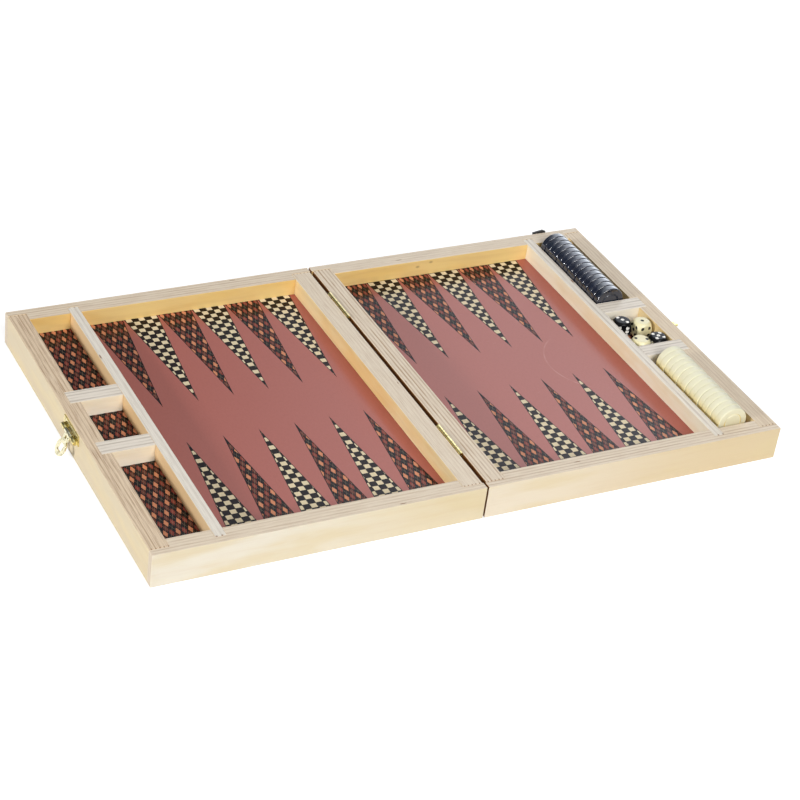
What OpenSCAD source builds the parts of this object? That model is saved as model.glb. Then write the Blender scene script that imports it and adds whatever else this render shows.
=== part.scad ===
// Folding backgammon set: two plywood trays hinged rim to rim, thirty checkers and four dice.
// The open board lies on z = 0, its front faces -Y and the hinge line runs above x = 0.
// Tray pieces are drawn for the right-hand tray, and the left-hand tray is its mirror image.

/* [Trays] */
// Width of each tray, from the hinge gap to its end
tray_w = 242; // [230:1:270]
// Depth of the board, front to back
tray_d = 300; // [292:1:340]
// Height of the rails
tray_h = 26; // [25:0.5:32]
// Gap between the trays when the board lies open
tray_gap = 3; // [3:0.25:5]
// Thickness of the outer rails
rail_t = 14; // [12:0.5:15]
// Thickness of the two rails beside the hinge gap
hinge_rail_t = 15; // [12:0.5:17]
// Lip of the front and back rails over the ends of the cross rails
corner_lip = 6; // [4:0.5:8]
// Reach of those lips past the hinge rails, into the gap
lip_reach = 0.8; // [0:0.1:1.2]
// Depth from the rim to the printed floor
floor_depth = 13.5; // [12.5:0.25:15]
// Thickness of the floor panel
panel_t = 6; // [4:0.5:8]
// Depth of the grooves that hold the floor panel
panel_groove = 5; // [3:0.5:5.5]

/* [Storage] */
// Clear width of the storage bays
store_w = 31.5; // [31.5:0.5:36]
// Clear length of the dice bay
dice_bay = 49; // [48:0.5:54]
// Shift of the dice bay towards the back
bay_shift = 1.1; // [0:0.1:2]
// Thickness of the storage divider
divider_t = 8; // [5:0.5:12]
// Thickness of the partitions
partition_t = 14; // [10:0.5:15]
// Depth that the partitions are let into the end rail
partition_housing = 7; // [3:0.5:8]

/* [Checkers] */
// Diameter of a checker
checker_d = 24.4; // [22:0.2:25]
// Length of the back bay that its row of black checkers leaves free
row_free = 6.7; // [2:0.1:14]
// Radius of a checker's edges
checker_edge = 1.2; // [0.4:0.1:1.8]
// Diameter of the ring groove in a checker's faces
ring_d = 14; // [8:0.5:18]
// Width of the ring groove
ring_groove = 1.2; // [0.6:0.1:2]
// Free play between neighbours in the black row
black_play = 0.3; // [0.1:0.05:0.4]
// Free play between neighbours in the ivory row
ivory_play = 0.12; // [0.1:0.02:0.4]

/* [Dice] */
// Size of a die across its faces
die_size = 13.5; // [11:0.5:13.5]
// Radius of the ball that rounds a die's edges
die_round = 8.7; // [8:0.1:8.8]
// Distance of the pips from the middle lines of a face
pip_step = 3.2; // [2.6:0.1:3.4]
// Diameter of a pip
pip_d = 2.9; // [1.6:0.1:3]
// Depth of a pip
pip_depth = 0.45; // [0.2:0.05:0.8]

/* [Hinges] */
// Length of a hinge
hinge_len = 36; // [30:1:50]
// Distance from the board's front and back to the middle of the nearer hinge
hinge_inset = 58; // [40:1:90]
// Rise of the hinge axis above the rim
hinge_rise = 0.2; // [0.2:0.05:0.6]
// Thickness of a hinge leaf
leaf_t = 1; // [0.8:0.05:1.1]
// Height of a hinge leaf below the hinge axis
leaf_h = 9; // [7:0.5:12]
// Diameter of the hinge knuckles
knuckle_d = 2.5; // [2:0.1:2.6]
// Diameter of the hinge pins
hinge_pin_d = 1.2; // [0.8:0.1:1.4]
// Number of knuckles on a hinge
knuckles = 5; // [3:2:7]
// Distance between the screws of a hinge leaf
hinge_screw_pitch = 12; // [8:0.5:13]

/* [Clasp] */
// Middle of the clasp, counted back from the board's middle
clasp_y = 2; // [-20:0.5:20]
// Length of the clasp plate
clasp_w = 29; // [28:0.5:36]
// Thickness of the clasp plate and of the catch plate
plate_t = 1; // [0.8:0.05:1.1]
// Drop from the rim to the top of the clasp plate
plate_drop = 1.4; // [1:0.1:1.7]
// Drop from the rim to the hasp's axis
clasp_drop = 7.8; // [7.6:0.1:8]
// Distance from the tray's end to the hasp's axis
clasp_out = 2.2; // [2.2:0.1:3]
// Diameter of the clasp's knuckles
clasp_knuckle_d = 3.6; // [3:0.1:3.8]
// Diameter of the clasp's pin
clasp_pin_d = 1.6; // [1:0.1:1.8]
// Length of all the clasp's knuckles together
clasp_barrel = 25; // [22:0.5:27]
// Length of the hasp's own knuckle
hasp_knuckle = 10.6; // [10.4:0.2:12]
// Thickness of the hasp
hasp_t = 1.2; // [0.8:0.1:1.4]
// Radius of the hasp's eye
eye_r = 4.4; // [3.8:0.1:4.6]
// Distance from the hasp's axis to the middle of its eye
eye_s = 3.2; // [3.2:0.1:4]
// Diameter of the hole in the hasp's eye
eye_hole_d = 2.6; // [1.6:0.1:2.6]
// Diameter of the collar round that hole
collar_d = 5.4; // [4:0.1:6]
// Rise of the collar above the hasp
collar_rise = 0.4; // [0.2:0.05:0.4]
// Radius of the hasp's ring
hasp_ring_r = 6.6; // [6:0.1:6.8]
// Side of the square window in the ring
window = 6.2; // [6:0.1:7]
// Distance from the hasp's axis to the middle of its window
window_s = 11.4; // [11:0.1:11.6]
// Angle that the hasp hangs out from the tray's end at rest
hasp_rest = 28; // [24:1:40]

/* [Catch] */
// Width of the catch plate
catch_w = 14; // [12.5:0.5:20]
// Height of the catch plate
catch_h = 11; // [10:0.5:12]
// Rise of the catch plate above its hook
catch_rise = 1.6; // [1:0.1:3]
// Width of the catch's hook
hook_w = 4.6; // [3:0.1:5.4]
// Thickness of the hook
hook_t = 1.2; // [0.8:0.1:1.4]
// Reach of the hook from the tray's end
hook_reach = 6.5; // [5.5:0.1:6.8]
// Drop of the hook's lip below its tongue
hook_lip = 0.8; // [0.3:0.1:0.9]

/* [Screws] */
// Diameter of a screw's head
screw_head_d = 3.8; // [3:0.1:4]
// Height of the countersunk head
screw_head_h = 0.8; // [0.6:0.05:0.8]
// Diameter of a screw's shank
screw_d = 1.8; // [1.2:0.1:2]
// Length of a screw
screw_len = 7; // [5:0.5:8]

/* [Pull tab] */
// Distance from the tray's end to the middle of the pull tab
tab_from_end = 34.5; // [20:0.5:60]
// Width of the pull tab
tab_w = 12; // [8:0.5:20]
// Thickness of the pull tab
tab_t = 1.8; // [1:0.1:2.5]
// Height of the pull tab below the rim
tab_drop = 14; // [8:0.5:18]
// Rise of the pull tab above the rim
tab_rise = 2; // [1:0.1:3]
// Share of that rise at the tab's end towards the hinge line
tab_low_share = 0.3; // [0.1:0.05:0.9]

/* [Hidden] */
$fn = 48;

// Clearances
cut = 1;               // overshoot of a cutter past the face that it opens
pin_play = 0.03;       // radial play of a pin in its knuckles
screw_play = 0.03;     // play around a screw
screw_end_play = 0.5;  // depth of a screw hole past the screw's point
knuckle_play = 0.3;    // gap between neighbouring knuckles, and from a knuckle to what it turns past
seat_play = 0.1;       // gap from a checker or a die to the floor that it stands on
tab_play = 0.5;        // gap from the pull tab to the tray that closes above it
head_margin = 0.6;     // metal left between a screw's head and the edge of its plate

// Trays
tray_near = tray_gap / 2;
tray_end = tray_near + tray_w;
inner_y = tray_d / 2 - rail_t;
cross_y = tray_d / 2 - corner_lip;
floor_z = tray_h - floor_depth;
panel_z = floor_z - panel_t;
panel_near = tray_near + hinge_rail_t - panel_groove;
store_far = tray_end - rail_t;
store_near = store_far - store_w;
divider_x = store_near - divider_t;
partition_y = dice_bay / 2 + partition_t;
back_bay_y = bay_shift + partition_y;
front_bay_y = bay_shift - partition_y;

// Checkers: how the free room in a bay is shared out, beside and in front of each row
per_side = 15;
checker_t = (inner_y - back_bay_y - row_free - (per_side - 1) * black_play) / per_side;
checker_r = checker_d / 2;
black_side_share = 0.12;
ivory_side_share = 0.42;
black_end_share = 0.13;
ivory_end_share = 0.65;

// Dice: pips are dishes cut by a ball
pip_ball = (pow(pip_d / 2, 2) + pow(pip_depth, 2)) / (2 * pip_depth);
die_half = die_size / 2;
// Each die's turn about Z, gap to the partition that it lies nearer to, and gap to the wall beside it
black_die_1_place = [-18, 4.3, 0.3];
black_die_2_place = [0, 2, 0.7];
ivory_die_1_place = [1, 11, 1.5];
ivory_die_2_place = [20, 0.4, 0.3];

// Hinges
hinge_y = tray_d / 2 - hinge_inset;
hinge_z = tray_h + hinge_rise;
knuckle_pitch = hinge_len / knuckles;
knuckle_len = knuckle_pitch - knuckle_play;
notch_h = knuckle_d / 2 + knuckle_play;
hinge_screw_z = hinge_z - (leaf_h + notch_h) / 2;

// Clasp and catch
clasp_x = tray_end + clasp_out;
clasp_z = tray_h - clasp_drop;
plate_top = tray_h - plate_drop;
plate_bottom = clasp_z - clasp_knuckle_d / 2;
clasp_screw_z = plate_top - screw_head_d / 2 - head_margin;
clasp_screw_y = clasp_w / 2 - screw_head_d / 2 - head_margin;
plate_knuckle = (clasp_barrel - hasp_knuckle) / 2 - knuckle_play;
catch_z = 2 * hinge_z - clasp_z - window_s;
catch_top = catch_z + catch_rise;
catch_bottom = catch_top - catch_h;
catch_screw_z = catch_bottom + screw_head_d / 2 + head_margin;
catch_screw_y = catch_w / 2 - screw_head_d / 2 - head_margin;
tab_x = tray_end - tab_from_end;

// Colours
plywood = [0.93, 0.86, 0.74];
print_red = [0.62, 0.33, 0.30];
brass = [0.85, 0.68, 0.30];
black = [0.08, 0.09, 0.12];
ivory = [0.94, 0.92, 0.78];

// The right-hand shape, mirrored for the left-hand tray
module on_side(side) {
    mirror([side == "left" ? 1 : 0, 0, 0]) children();
}

// Slotted countersunk screw: its head's top at z = 0, its point downwards
module screw() {
    difference() {
        rotate_extrude() polygon([[0, 0], [screw_head_d / 2, 0], [screw_d / 2, -screw_head_h],
            [screw_d / 2, screw_d - screw_len], [0, -screw_len]]);
        translate([-screw_head_d, -screw_d / 6, -screw_head_h / 2])
            cube([2 * screw_head_d, screw_d / 3, cut]);
    }
}

// Hole for a screw, with play all round it
module screw_hole() {
    head_r = screw_head_d / 2 + screw_play;
    shank_r = screw_d / 2 + screw_play;
    rotate_extrude() polygon([[0, cut], [head_r, cut], [head_r, 0], [shank_r, -screw_head_h],
        [shank_r, -screw_len - screw_end_play], [0, -screw_len - screw_end_play]]);
}

// Children at each screw of the hinge leaves, pointing into the hinge rail
module at_hinge_screws() {
    for (end = [-1, 1], k = [-1, 0, 1])
        translate([tray_near - leaf_t, end * hinge_y + k * hinge_screw_pitch, hinge_screw_z])
            rotate([0, -90, 0]) children();
}

// Children at each of two screws in the tray's end
module at_end_screws(spread, z) {
    for (k = [-1, 1])
        translate([tray_end + plate_t, clasp_y + k * spread, z]) rotate([0, 90, 0]) children();
}

module at_clasp_screws() {
    at_end_screws(clasp_screw_y, clasp_screw_z) children();
}

module at_catch_screws() {
    at_end_screws(catch_screw_y, catch_screw_z) children();
}

// Front rail: rebated for the cross rails, grooved for the floor, housed for the divider
module long_rail() {
    lip_near = tray_near - lip_reach;
    difference() {
        translate([lip_near, -tray_d / 2, 0]) cube([tray_w + lip_reach, rail_t, tray_h]);
        for (rebate = [[lip_near - cut, lip_reach + hinge_rail_t], [store_far, rail_t]])
            translate([rebate[0], -cross_y, -cut]) cube([rebate[1] + cut, rail_t, tray_h + 2 * cut]);
        translate([tray_near - cut, -inner_y - panel_groove, panel_z])
            cube([tray_w + 2 * cut, panel_groove + cut, panel_t]);
        translate([divider_x, -cross_y, floor_z]) cube([divider_t, rail_t, floor_depth + cut]);
    }
}

// Cross rail between the front and back rails, with its near face at x
module cross_rail(x, thickness) {
    translate([x, -cross_y, 0]) cube([thickness, 2 * cross_y, tray_h]);
}

// Groove across a cross rail, from x for the panel's bite
module cross_groove(x) {
    translate([x, -tray_d / 2, panel_z]) cube([panel_groove + cut, tray_d, panel_t]);
}

module front_rail(side) {
    color(plywood) on_side(side) long_rail();
}

module back_rail(side) {
    color(plywood) on_side(side) mirror([0, 1, 0]) long_rail();
}

module end_rail(side) {
    color(plywood) on_side(side) difference() {
        cross_rail(store_far, rail_t);
        cross_groove(store_far - cut);
        partition_solids();
        if (side == "left") at_clasp_screws() screw_hole();
        if (side == "right") at_catch_screws() screw_hole();
    }
}

module hinge_rail(side) {
    color(plywood) on_side(side) difference() {
        cross_rail(tray_near, hinge_rail_t);
        cross_groove(panel_near);
        at_hinge_screws() screw_hole();
    }
}

module base_panel(side) {
    color(print_red) on_side(side)
        translate([panel_near, -inner_y - panel_groove, panel_z])
            cube([store_far + panel_groove - panel_near, 2 * (inner_y + panel_groove), panel_t]);
}

module storage_divider(side) {
    color(plywood) on_side(side)
        translate([divider_x, -cross_y, floor_z]) cube([divider_t, 2 * cross_y, floor_depth]);
}

// Both partitions of a tray, from the divider into the end rail
module partition_solids() {
    for (y = [front_bay_y, back_bay_y - partition_t])
        translate([store_near, y, floor_z]) cube([store_w + partition_housing, partition_t, floor_depth]);
}

module partitions(side) {
    color(plywood) on_side(side) partition_solids();
}

module tray_screws(side) {
    color(brass) on_side(side) {
        at_hinge_screws() screw();
        if (side == "left") at_clasp_screws() screw();
        if (side == "right") at_catch_screws() screw();
    }
}

// One hinge leaf on the right-hand hinge rail, owning every second knuckle from the first
module leaf_shape(first) {
    leaf_x = tray_near - leaf_t;
    difference() {
        union() {
            translate([leaf_x, -hinge_len / 2, hinge_z - leaf_h])
                cube([leaf_t, hinge_len, leaf_h - notch_h]);
            for (i = [first:2:knuckles - 1])
                translate([0, -hinge_len / 2 + i * knuckle_pitch + knuckle_play / 2, hinge_z]) {
                    rotate([-90, 0, 0]) cylinder(d = knuckle_d, h = knuckle_len);
                    translate([0, 0, -leaf_t]) cube([tray_near, knuckle_len, leaf_t]);
                    translate([leaf_x, 0, -leaf_h]) cube([leaf_t, knuckle_len, leaf_h]);
                }
        }
        translate([0, -hinge_len, hinge_z]) rotate([-90, 0, 0])
            cylinder(d = hinge_pin_d + 2 * pin_play, h = 2 * hinge_len);
        for (k = [-1, 0, 1])
            translate([leaf_x, k * hinge_screw_pitch, hinge_screw_z]) rotate([0, -90, 0]) screw_hole();
    }
}

module hinge_leaf(place, side) {
    color(brass) translate([0, place == "back" ? hinge_y : -hinge_y, 0])
        on_side(side) leaf_shape(side == "left" ? 0 : 1);
}

module hinge_pins() {
    color(brass) for (y = [-hinge_y, hinge_y])
        translate([0, y - hinge_len / 2, hinge_z]) rotate([-90, 0, 0])
            cylinder(d = hinge_pin_d, h = hinge_len);
}

// Cylinder on the hasp's axis, over a length centred on the clasp
module on_clasp_axis(d, len, offset = 0) {
    translate([clasp_x, clasp_y + offset, clasp_z]) rotate([90, 0, 0])
        cylinder(d = d, h = len, center = true);
}

module clasp_plate() {
    notch_top = clasp_z + clasp_knuckle_d / 2 + knuckle_play;
    color(brass) on_side("left") difference() {
        union() {
            translate([tray_end, clasp_y - clasp_w / 2, plate_bottom])
                cube([plate_t, clasp_w, plate_top - plate_bottom]);
            for (k = [-1, 1])
                on_clasp_axis(clasp_knuckle_d, plate_knuckle, k * (clasp_barrel - plate_knuckle) / 2);
        }
        translate([tray_end - cut, clasp_y - hasp_knuckle / 2 - knuckle_play, plate_bottom - cut])
            cube([plate_t + 2 * cut, hasp_knuckle + 2 * knuckle_play, notch_top - plate_bottom + cut]);
        on_clasp_axis(clasp_pin_d + 2 * pin_play, 2 * clasp_barrel);
        at_clasp_screws() screw_hole();
    }
}

// The hasp hanging straight down from its axis, which runs along Y through the origin
module hasp_shape() {
    difference() {
        union() {
            rotate([90, 0, 0]) cylinder(d = clasp_knuckle_d, h = hasp_knuckle, center = true);
            translate([0, 0, -eye_s]) rotate([0, 90, 0]) {
                cylinder(r = eye_r, h = hasp_t, center = true);
                cylinder(d = collar_d, h = hasp_t / 2 + collar_rise);
            }
            translate([0, 0, -window_s]) rotate([0, 90, 0])
                cylinder(r = hasp_ring_r, h = hasp_t, center = true);
        }
        rotate([90, 0, 0]) cylinder(d = clasp_pin_d + 2 * pin_play, h = 2 * hasp_knuckle, center = true);
        translate([0, 0, -eye_s]) rotate([0, 90, 0]) cylinder(d = eye_hole_d, h = 4 * hasp_t, center = true);
        translate([0, 0, -window_s]) cube([2 * hasp_t, window, window], center = true);
    }
}

module clasp_hasp() {
    color(brass) on_side("left") translate([clasp_x, clasp_y, clasp_z])
        rotate([0, -hasp_rest, 0]) hasp_shape();
}

module clasp_pin() {
    color(brass) on_side("left") on_clasp_axis(clasp_pin_d, clasp_barrel);
}

// Plate with a tongue that passes through the hasp's window and a lip that holds the ring's lower bar
module catch_plate() {
    color(brass) difference() {
        union() {
            translate([tray_end, clasp_y - catch_w / 2, catch_bottom]) cube([plate_t, catch_w, catch_h]);
            translate([tray_end, clasp_y - hook_w / 2, catch_z - hook_t]) cube([hook_reach, hook_w, hook_t]);
            translate([tray_end + hook_reach - hook_t, clasp_y - hook_w / 2, catch_z - hook_t - hook_lip])
                cube([hook_t, hook_w, hook_t + hook_lip]);
        }
        at_catch_screws() screw_hole();
    }
}

// Leather tab on the back rail, leaning clear of the tray that closes above it
module pull_tab() {
    back = tray_d / 2;
    bend = tray_h - tab_play;
    low = tray_h - tab_drop;
    color(black) translate([tab_x, 0, 0]) intersection() {
        translate([tab_w / 2, 0, 0]) rotate([90, 0, -90]) linear_extrude(tab_w)
            polygon([[-back, low], [-back, bend], [-back - tab_play, tray_h],
                [-back - tab_play, tray_h + tab_rise], [-back - tab_play - tab_t, tray_h + tab_rise],
                [-back - tab_play - tab_t, tray_h], [-back - tab_t, bend], [-back - tab_t, low]]);
        translate([0, back + tab_w, 0]) rotate([90, 0, 0]) linear_extrude(2 * tab_w)
            polygon([[-tab_w / 2, low], [tab_w / 2, low], [tab_w / 2, tray_h + tab_low_share * tab_rise],
                [tab_w / 4, tray_h + tab_rise], [-tab_w / 2, tray_h + tab_low_share * tab_rise]]);
    }
}

// Checker with its axis along Z and its middle at the origin
module checker() {
    groove_r = ring_groove / 2;
    difference() {
        rotate_extrude() translate([0, -checker_t / 2]) union() {
            square([checker_r - checker_edge, checker_t]);
            translate([0, checker_edge]) square([checker_r, checker_t - 2 * checker_edge]);
            for (y = [checker_edge, checker_t - checker_edge])
                translate([checker_r - checker_edge, y]) circle(r = checker_edge);
        }
        for (z = [-checker_t / 2, checker_t / 2])
            translate([0, 0, z]) rotate_extrude() translate([ring_d / 2, 0]) circle(r = groove_r);
    }
}

// A checker of a row, standing on its edge on the floor of its bay
module row_checker(side_share, y) {
    x = store_near + checker_r + side_share * (store_w - checker_d);
    translate([x, y, floor_z + seat_play + checker_r]) rotate([90, 0, 0]) checker();
}

// Distance from y = 0 to the middle of the i-th checker of a row, counted away from the dice bay,
// in the bay that starts at that distance
function row_y(i, start, play, end_share) =
    start + end_share * (inner_y - start - per_side * checker_t - (per_side - 1) * play)
    + checker_t / 2 + (i - 1) * (checker_t + play);

module black_checker(i) {
    color(black) row_checker(black_side_share, row_y(i, back_bay_y, black_play, black_end_share));
}

module ivory_checker(i) {
    color(ivory) row_checker(ivory_side_share, -row_y(i, -front_bay_y, ivory_play, ivory_end_share));
}

// Pip places on a face, in pip steps
function pip_places(n) = concat(
    n % 2 == 1 ? [[0, 0]] : [],
    n > 1 ? [[1, -1], [-1, 1]] : [],
    n > 3 ? [[1, 1], [-1, -1]] : [],
    n == 6 ? [[1, 0], [-1, 0]] : []);

// Cutter for the pips of the face that looks up
module pips(n) {
    for (p = pip_places(n))
        translate([p[0] * pip_step, p[1] * pip_step, die_half - pip_depth + pip_ball]) sphere(r = pip_ball);
}

// Turn that brings a value from its face of the die to the top
function face_up(n) = [[0, 0, 0], [0, -90, 0], [90, 0, 0], [-90, 0, 0], [0, 90, 0], [180, 0, 0]][n - 1];

// Die with its middle at the origin and one value on top; opposite faces add up to seven
module die(top) {
    rotate(face_up(top)) difference() {
        intersection() {
            cube(die_size, center = true);
            sphere(r = die_round);
        }
        for (n = [1:6]) rotate(-face_up(n)) pips(n);
    }
}

// Half of a die's breadth along the bay's width when it lies turned about Z
function die_reach(turn) = die_round * cos(acos(die_half / die_round) - abs(turn));

// A die on the floor, off the partition at the bay's back (end = 1) or front (end = -1)
// and off the divider (wall = -1) or the end rail (wall = 1), spun so that another side faces the front
module bay_die(top, place, end, wall, spin = 0) {
    reach = die_reach(place[0]);
    x = wall < 0 ? store_near + reach + place[2] : store_far - reach - place[2];
    y = bay_shift + end * (dice_bay / 2 - reach - place[1]);
    translate([x, y, floor_z + seat_play + die_half]) rotate([0, 0, place[0] + spin]) die(top);
}

module black_die_1() {
    color(black) bay_die(3, black_die_1_place, 1, -1, 180);
}

module black_die_2() {
    color(black) bay_die(5, black_die_2_place, -1, 1);
}

module ivory_die_1() {
    color(ivory) bay_die(1, ivory_die_1_place, 1, 1);
}

module ivory_die_2() {
    color(ivory) bay_die(2, ivory_die_2_place, -1, -1);
}

for (side = ["left", "right"]) {
    base_panel(side);
    front_rail(side);
    back_rail(side);
    end_rail(side);
    hinge_rail(side);
    storage_divider(side);
    partitions(side);
    tray_screws(side);
}
for (place = ["back", "front"], side = ["left", "right"])
    hinge_leaf(place, side);
hinge_pins();
clasp_plate();
clasp_hasp();
clasp_pin();
catch_plate();
pull_tab();
for (i = [1:per_side]) {
    black_checker(i);
    ivory_checker(i);
}
black_die_1();
black_die_2();
ivory_die_1();
ivory_die_2();
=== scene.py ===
"""Looks of a folding backgammon set: plywood trays, printed fields, brass fittings, checkers and dice."""

from __future__ import annotations

import logging
import math
from dataclasses import dataclass, replace
from enum import Enum
from typing import Callable, Iterable, Optional, Sequence, Union

import bpy
from mathutils import Matrix, Vector

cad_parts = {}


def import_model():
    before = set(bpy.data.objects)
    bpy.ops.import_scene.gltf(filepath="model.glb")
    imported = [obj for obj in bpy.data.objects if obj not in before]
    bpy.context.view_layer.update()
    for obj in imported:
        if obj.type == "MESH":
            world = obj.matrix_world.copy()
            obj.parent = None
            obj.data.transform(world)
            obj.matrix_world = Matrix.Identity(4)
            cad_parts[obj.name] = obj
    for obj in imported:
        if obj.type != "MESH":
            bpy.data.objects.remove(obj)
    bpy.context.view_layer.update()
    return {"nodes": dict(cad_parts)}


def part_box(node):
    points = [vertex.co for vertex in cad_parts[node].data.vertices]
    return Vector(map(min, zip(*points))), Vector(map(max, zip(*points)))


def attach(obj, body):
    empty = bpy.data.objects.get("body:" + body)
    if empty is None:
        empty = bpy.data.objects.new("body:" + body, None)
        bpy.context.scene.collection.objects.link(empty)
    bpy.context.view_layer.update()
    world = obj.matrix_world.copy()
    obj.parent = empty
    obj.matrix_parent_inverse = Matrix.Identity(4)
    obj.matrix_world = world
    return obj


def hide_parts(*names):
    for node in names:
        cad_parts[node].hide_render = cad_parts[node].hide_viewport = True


LOG = logging.getLogger("backgammon_set")
MM = 0.001
PER_SIDE = 15
SIDES = ("left", "right")
# Heights of the floors and of the rims, in millimetres like every length in the finishes
FLOOR_Z, RIM_Z = 12.5, 26.0
# Veneer past these places lies on the outside of the case
OUTER_X, OUTER_Y = 242.9, 149.4
# Faces nearer to the middle than this meet in the gap between the trays and are painted dark brown as shade
SHADED_GAP_X = 2.1
# Where the cross rails end against the long ones
BUTT_FROM, BUTT_TO = 142.6, 143.5
Socket = bpy.types.NodeSocket
Element = Union[bpy.types.MeshPolygon, bpy.types.MeshEdge]
Value = Union[float, Socket]
Rgb = tuple[float, float, float]


def paint(red: int, green: int, blue: int) -> Rgb:
    """Linear colour of a paint chip.

    Args:
        red: Red of the chip, from 0 to 255.
        green: Green of the chip.
        blue: Blue of the chip.

    Returns:
        The colour that a shader takes.
    """

    def linear(step: int) -> float:
        """Light share of one channel."""
        share = step / 255
        return share / 12.92 if share <= 0.04045 else ((share + 0.055) / 1.055) ** 2.4

    return linear(red), linear(green), linear(blue)


class Graph:
    """A node tree, with short calls for the nodes that the finishes share."""

    def __init__(self, tree: bpy.types.NodeTree) -> None:
        """Keep the tree and empty it."""
        self.tree = tree
        tree.nodes.clear()

    def node(self, kind: str, **settings: object) -> bpy.types.Node:
        """Add a node.

        Args:
            kind: Node type without its Shader prefix, or a full type name.
            settings: Properties to set on the node.

        Returns:
            The new node.
        """
        name = kind if kind.startswith(("Node", "Shader")) else f"ShaderNode{kind}"
        made = self.tree.nodes.new(name)
        for key, value in settings.items():
            setattr(made, key, value)
        return made

    def feed(self, socket: Socket, value: object) -> None:
        """Link a socket to another one, or set it to a plain value.

        Args:
            socket: Input to fill.
            value: A socket, a number or a colour.
        """
        if isinstance(value, bpy.types.NodeSocket):
            self.tree.links.new(value, socket)
        elif isinstance(value, tuple) and socket.type == "RGBA":
            socket.default_value = (*value[:3], 1.0)
        else:
            socket.default_value = value

    def math(self, operation: str, a: Value, b: Value = 0.0, c: Value = 0.0) -> Socket:
        """Arithmetic on numbers.

        Args:
            operation: Name of the Math node's operation.
            a: First operand.
            b: Second operand.
            c: Third operand.

        Returns:
            The result's socket.
        """
        made = self.node("Math", operation=operation)
        for socket, value in zip(made.inputs, (a, b, c)):
            self.feed(socket, value)
        return made.outputs[0]

    def add(self, *terms: Value) -> Socket:
        """Sum of several numbers."""
        total = terms[0]
        for term in terms[1:]:
            total = self.math("ADD", total, term)
        return total

    def times(self, *factors: Value) -> Socket:
        """Product of several numbers."""
        total = factors[0]
        for factor in factors[1:]:
            total = self.math("MULTIPLY", total, factor)
        return total

    def minus(self, a: Value, b: Value) -> Socket:
        """What is left of a without b."""
        return self.math("SUBTRACT", a, b)

    def absolute(self, value: Value) -> Socket:
        """A number without its sign."""
        return self.math("ABSOLUTE", value)

    def most(self, a: Value, b: Value) -> Socket:
        """The larger of two numbers."""
        return self.math("MAXIMUM", a, b)

    def least(self, a: Value, b: Value) -> Socket:
        """The smaller of two numbers."""
        return self.math("MINIMUM", a, b)

    def less(self, a: Value, b: Value) -> Socket:
        """One where a is below b."""
        return self.math("LESS_THAN", a, b)

    def above(self, a: Value, b: Value) -> Socket:
        """One where a is above b."""
        return self.math("GREATER_THAN", a, b)

    def reach(self, *ways: Value) -> Socket:
        """Length of the way that these steps along the axes make."""
        return self.math("POWER", self.add(*[self.math("POWER", way, 2.0) for way in ways]), 0.5)

    def fade(self, value: Value, low: float, high: float, start: float = 0.0, end: float = 1.0) -> Socket:
        """Smooth change from one number to another.

        Args:
            value: What drives the change.
            low: Value at which it starts.
            high: Value at which it ends.
            start: Result up to low.
            end: Result from high.

        Returns:
            The result's socket.
        """
        made = self.node("MapRange", interpolation_type="SMOOTHSTEP")
        for socket, number in zip(made.inputs, (value, low, high, start, end)):
            self.feed(socket, number)
        return made.outputs[0]

    def mix(self, share: Value, first: object, second: object, blend: str = "MIX") -> Socket:
        """Mix of two colours.

        Args:
            share: Share of the second colour.
            first: First colour.
            second: Second colour.
            blend: Blend mode.

        Returns:
            The mixed colour's socket.
        """
        made = self.node("Mix", data_type="RGBA", blend_type=blend)
        self.feed(made.inputs["Factor"], share)
        self.feed(made.inputs[6], first)
        self.feed(made.inputs[7], second)
        return made.outputs[2]

    def vector(self, x: Value, y: Value, z: Value) -> Socket:
        """Vector of three numbers."""
        made = self.node("CombineXYZ")
        for socket, value in zip(made.inputs, (x, y, z)):
            self.feed(socket, value)
        return made.outputs[0]

    def split(self, vector: Socket) -> tuple[Socket, Socket, Socket]:
        """The three numbers of a vector."""
        made = self.node("SeparateXYZ")
        self.feed(made.inputs[0], vector)
        return made.outputs[0], made.outputs[1], made.outputs[2]

    def noise(self, vector: Socket, scale: float = 1.0, detail: float = 2.0, rough: float = 0.5) -> Socket:
        """Noise from 0 to 1.

        Args:
            vector: Where the noise is read.
            scale: Size of its steps.
            detail: Number of finer layers.
            rough: Strength of the finer layers.

        Returns:
            The noise value's socket.
        """
        made = self.node("TexNoise")
        for name, value in (("Vector", vector), ("Scale", scale), ("Detail", detail), ("Roughness", rough)):
            self.feed(made.inputs[name], value)
        return made.outputs[0]

    def stretched(
        self, *axes: tuple[Value, float], level: float = 0.0, detail: float = 2.0, rough: float = 0.5
    ) -> Socket:
        """Noise from 0 to 1 that is drawn out along some axes.

        Args:
            axes: Two or three places, each with its own scale.
            level: Third coordinate where there are only two places.
            detail: Number of finer layers.
            rough: Strength of the finer layers.

        Returns:
            The noise value's socket.
        """
        places = [self.times(place, scale) for place, scale in axes]
        return self.noise(self.vector(*(*places, level)[:3]), 1.0, detail, rough)

    def chance(self, number: Value) -> Socket:
        """One random value from 0 to 1 for each whole number."""
        made = self.node("TexWhiteNoise", noise_dimensions="1D")
        self.feed(made.inputs["W"], number)
        return made.outputs[0]

    def place(self) -> tuple[Socket, Socket, Socket]:
        """The surface point's own coordinates, in millimetres."""
        made = self.node("VectorMath", operation="SCALE")
        self.feed(made.inputs[0], self.node("TexCoord").outputs["Object"])
        self.feed(made.inputs["Scale"], 1 / MM)
        return self.split(made.outputs[0])

    def facing(self) -> tuple[Socket, Socket, Socket]:
        """The surface's own normal."""
        return self.split(self.node("TexCoord").outputs["Normal"])

    def call(self, group: bpy.types.NodeTree, **inputs: Value) -> bpy.types.Node:
        """Place a node group.

        Args:
            group: The group's tree.
            inputs: Values or sockets for its named inputs.

        Returns:
            The group node.
        """
        made = self.node("Group", node_tree=group)
        for name, value in inputs.items():
            self.feed(made.inputs[name], value)
        return made

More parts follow.
